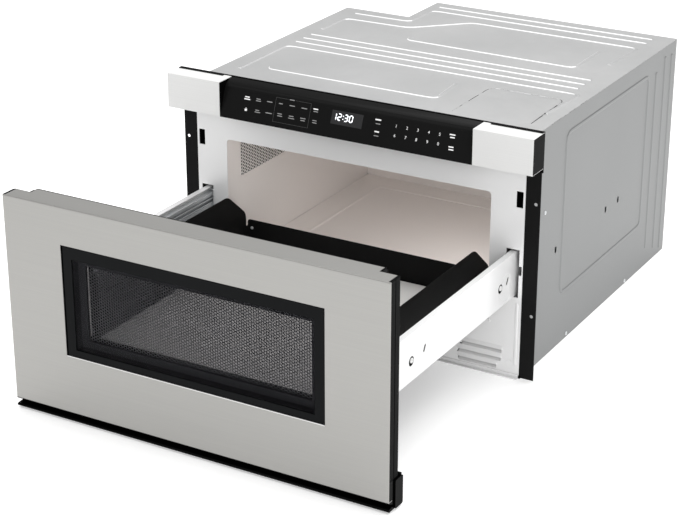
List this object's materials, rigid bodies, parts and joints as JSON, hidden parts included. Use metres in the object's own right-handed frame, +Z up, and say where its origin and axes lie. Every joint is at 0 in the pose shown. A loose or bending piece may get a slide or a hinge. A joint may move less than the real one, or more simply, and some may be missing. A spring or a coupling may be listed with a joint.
{
  "type": "microwave drawer",
  "caption": "Built-in microwave drawer, a shallow oven whose door and tray slide out together on motor-driven telescopic rails under a sloping touch panel.",
  "frame": {"origin": "under the middle of the front plate: the flange plane, the centre line and the case's underside meet there", "axes": "+X to the right seen from the front, +Y to the back of the case, +Z up; the drawer opens along -Y"},
  "size_m": [0.6064, 1.0086, 0.3864],
  "materials": {
    "galvanised_steel": "zinc-coated sheet, satin",
    "white_enamel": "gloss white enamel on sheet steel",
    "cavity_enamel": "light warm grey enamel",
    "black_enamel": "black powder coat",
    "black_plastic": "moulded ABS, fine grain",
    "gloss_black_plastic": "polished ABS",
    "black_glass": "back-printed touch glass",
    "tinted_glass": "tempered glass with black printed border",
    "clear_glass": "clear tempered glass",
    "stainless_steel": "brushed lengthwise",
    "screen_steel": "perforated sheet, grey coat",
    "ceramic_glass": "opaque light grey glass ceramic",
    "slide_steel": "bright zinc plate",
    "white_plastic": "acetal and polypropylene, satin",
    "circuit_board": "printed board with solder mask",
    "motor_casting": "die-cast housing and laminated core"
  },
  "bodies": {
    "case": {"top_panel": "galvanised_steel", "side_panel_right": "galvanised_steel", "side_panel_left": "galvanised_steel", "rear_panel": "galvanised_steel", "corner_panel": "galvanised_steel", "cord_gland": "black_plastic", "base_pan": "galvanised_steel", "front_plate": "white_enamel", "mounting_flange_right": "black_enamel", "mounting_flange_left": "black_enamel", "cavity_wrap": "cavity_enamel", "cavity_floor": "cavity_enamel", "cavity_back": "cavity_enamel", "panel_housing": "black_plastic", "panel_glass": "black_glass", "clock_window": "black_glass", "corner_cap_right": "stainless_steel", "corner_cap_left": "stainless_steel", "control_board": "circuit_board", "slide_fixed_right": "slide_steel", "slide_fixed_left": "slide_steel", "slide_bracket_right": "galvanised_steel", "slide_bracket_left": "galvanised_steel", "drive_motor": "motor_casting", "interlock_switch_right": "black_plastic", "interlock_switch_left": "black_plastic", "waveguide": "galvanised_steel", "stirrer_cover": "white_plastic", "stirrer_motor": "slide_steel", "magnetron": "slide_steel", "power_transformer": "motor_casting", "high_voltage_capacitor": "slide_steel", "fan_shroud": "black_plastic", "fan_motor": "slide_steel", "power_board": "circuit_board", "oven_lamp": "white_plastic"},
    "drawer": {"door_skin": "stainless_steel", "window_glass": "tinted_glass", "door_frame": "black_plastic", "window_screen": "screen_steel", "inner_window": "clear_glass", "choke_frame": "black_enamel", "choke_cover": "black_plastic", "door_pull": "gloss_black_plastic", "drawer_arm_right": "white_enamel", "drawer_arm_left": "white_enamel", "slide_drawer_right": "slide_steel", "slide_drawer_left": "slide_steel", "drive_rack": "white_plastic", "tray_side_right": "black_enamel", "tray_side_left": "black_enamel", "tray_pan": "black_enamel", "tray_glass": "ceramic_glass"},
    "slide_middle_left": {"slide_middle_left": "slide_steel"},
    "slide_middle_right": {"slide_middle_right": "slide_steel"},
    "drive_pinion": {"drive_pinion": "slide_steel"},
    "stirrer_blade": {"stirrer_blade": "slide_steel"},
    "fan_wheel": {"fan_wheel": "black_plastic"},
    "latch_hook_left": {"latch_hook_left": "black_plastic"},
    "latch_hook_right": {"latch_hook_right": "black_plastic"}
  },
  "joints": [
    {"name": "drawer_slide", "type": "slide", "parent": "case", "child": "drawer", "axis": [0, -1, 0], "range_m": [-0.393, 0]},
    {"name": "slide_middle_left_run", "type": "slide", "parent": "case", "child": "slide_middle_left", "axis": [0, -1, 0], "range_m": [-0.1965, 0]},
    {"name": "slide_middle_right_run", "type": "slide", "parent": "case", "child": "slide_middle_right", "axis": [0, -1, 0], "range_m": [-0.1965, 0]},
    {"name": "pinion_turn", "type": "hinge", "parent": "case", "child": "drive_pinion", "pos_m": [0.258, 0.024, 0.1198], "axis": [1, 0, 0], "continuous": true},
    {"name": "stirrer_turn", "type": "hinge", "parent": "case", "child": "stirrer_blade", "pos_m": [0, 0.22, 0.3], "axis": [0, 0, 1], "continuous": true},
    {"name": "fan_turn", "type": "hinge", "parent": "case", "child": "fan_wheel", "pos_m": [0.2, 0.55, 0.215], "axis": [0, 1, 0], "continuous": true},
    {"name": "latch_hook_left_swing", "type": "hinge", "parent": "drawer", "child": "latch_hook_left", "pos_m": [-0.2683, -0.404, 0.279], "axis": [1, 0, 0], "range_deg": [0, 8], "stiffness_Nm_per_rad": 0.05, "springref_deg": -14.32},
    {"name": "latch_hook_right_swing", "type": "hinge", "parent": "drawer", "child": "latch_hook_right", "pos_m": [0.2683, -0.404, 0.279], "axis": [1, 0, 0], "range_deg": [0, 8], "stiffness_Nm_per_rad": 0.05, "springref_deg": -14.32}
  ],
  "couplings": [
    {"joint": "slide_middle_left_run", "follows": "drawer_slide", "ratio": 0.5},
    {"joint": "slide_middle_right_run", "follows": "drawer_slide", "ratio": 0.5},
    {"joint": "pinion_turn", "follows": "drawer_slide", "rad_per_m": 71.429}
  ]
}
